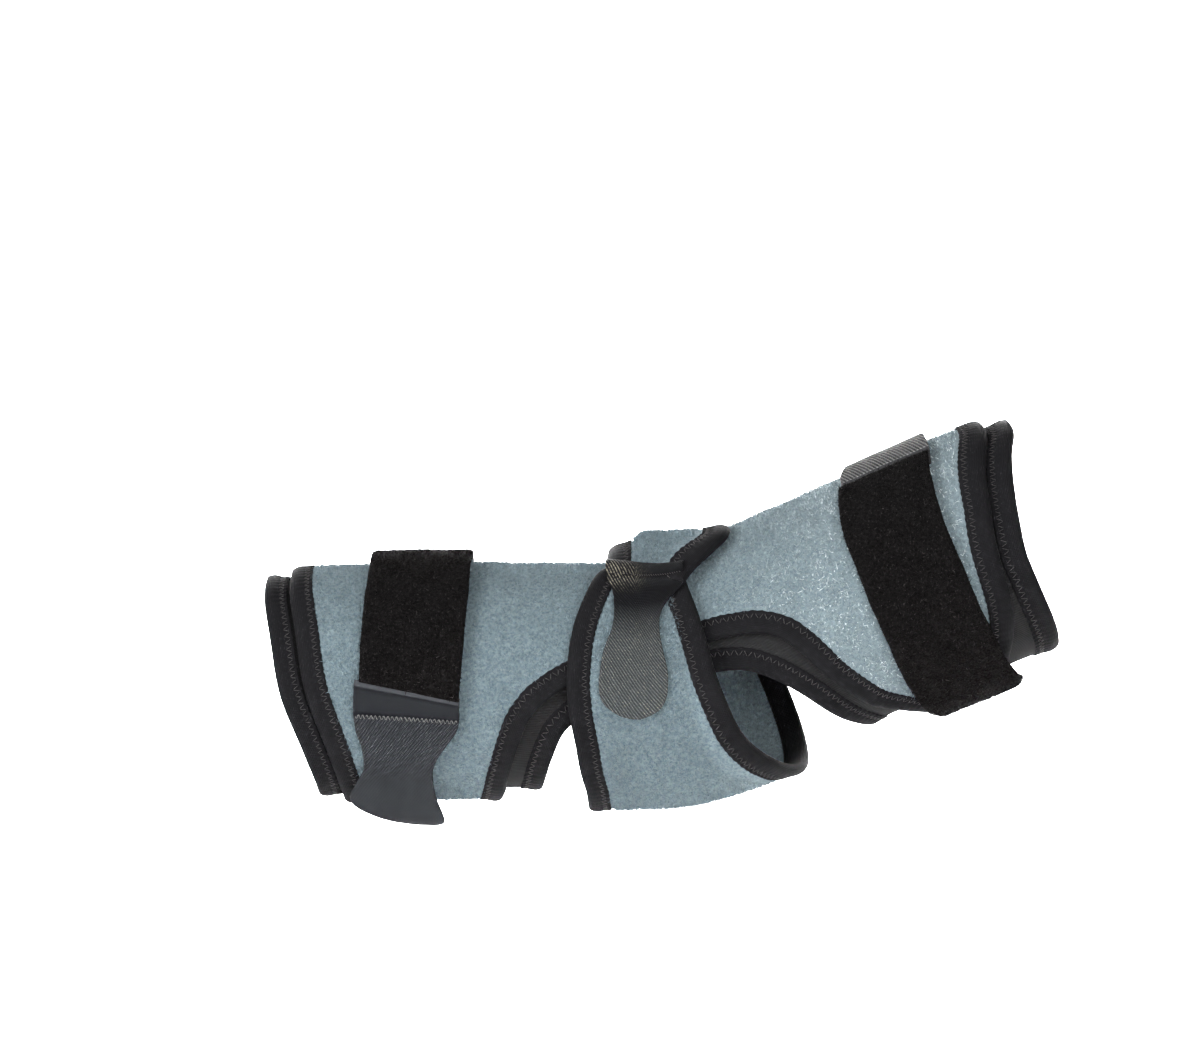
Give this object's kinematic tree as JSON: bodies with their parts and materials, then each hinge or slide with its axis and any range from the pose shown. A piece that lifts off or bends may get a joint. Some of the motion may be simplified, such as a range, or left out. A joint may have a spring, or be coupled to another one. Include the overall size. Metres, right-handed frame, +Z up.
{
  "type": "elbow brace",
  "caption": "Elbow brace worn on a slightly bent arm: plush outer sleeve over a thin liner, taped edges, an open elbow, a wrap with a hook tab, and two loop straps",
  "frame": {"origin": "the elbow's centre on the arm's axis, inside the hollow, where the arm holds the brace up", "axes": "+X along the forearm towards the shoulder, +Z up, the side with the tabs faces -Y; millimetres in the source, metres here"},
  "size_m": [0.2932, 0.1006, 0.1517],
  "materials": {
    "charcoal_knit": "smooth knit over thin foam",
    "binding_tape": "ribbed tape with a zigzag stitch",
    "plush": "unbroken loop plush",
    "loop_pile": "matte loop pile",
    "woven_hook": "diagonal woven ribs"
  },
  "bodies": {
    "root": {"liner": "charcoal_knit", "liner_binding_wrist": "binding_tape", "liner_binding_upper": "binding_tape", "liner_binding_elbow": "binding_tape", "outer_sleeve": "plush", "outer_binding_wrist": "binding_tape", "outer_binding_upper": "binding_tape", "outer_binding_elbow": "binding_tape", "elbow_wrap": "plush", "elbow_wrap_binding_left": "binding_tape", "elbow_wrap_binding_right": "binding_tape", "elbow_wrap_tab": "woven_hook", "forearm_strap": "loop_pile", "forearm_strap_tab": "woven_hook", "upper_strap": "loop_pile", "upper_strap_tab": "woven_hook"}
  },
  "joints": []
}
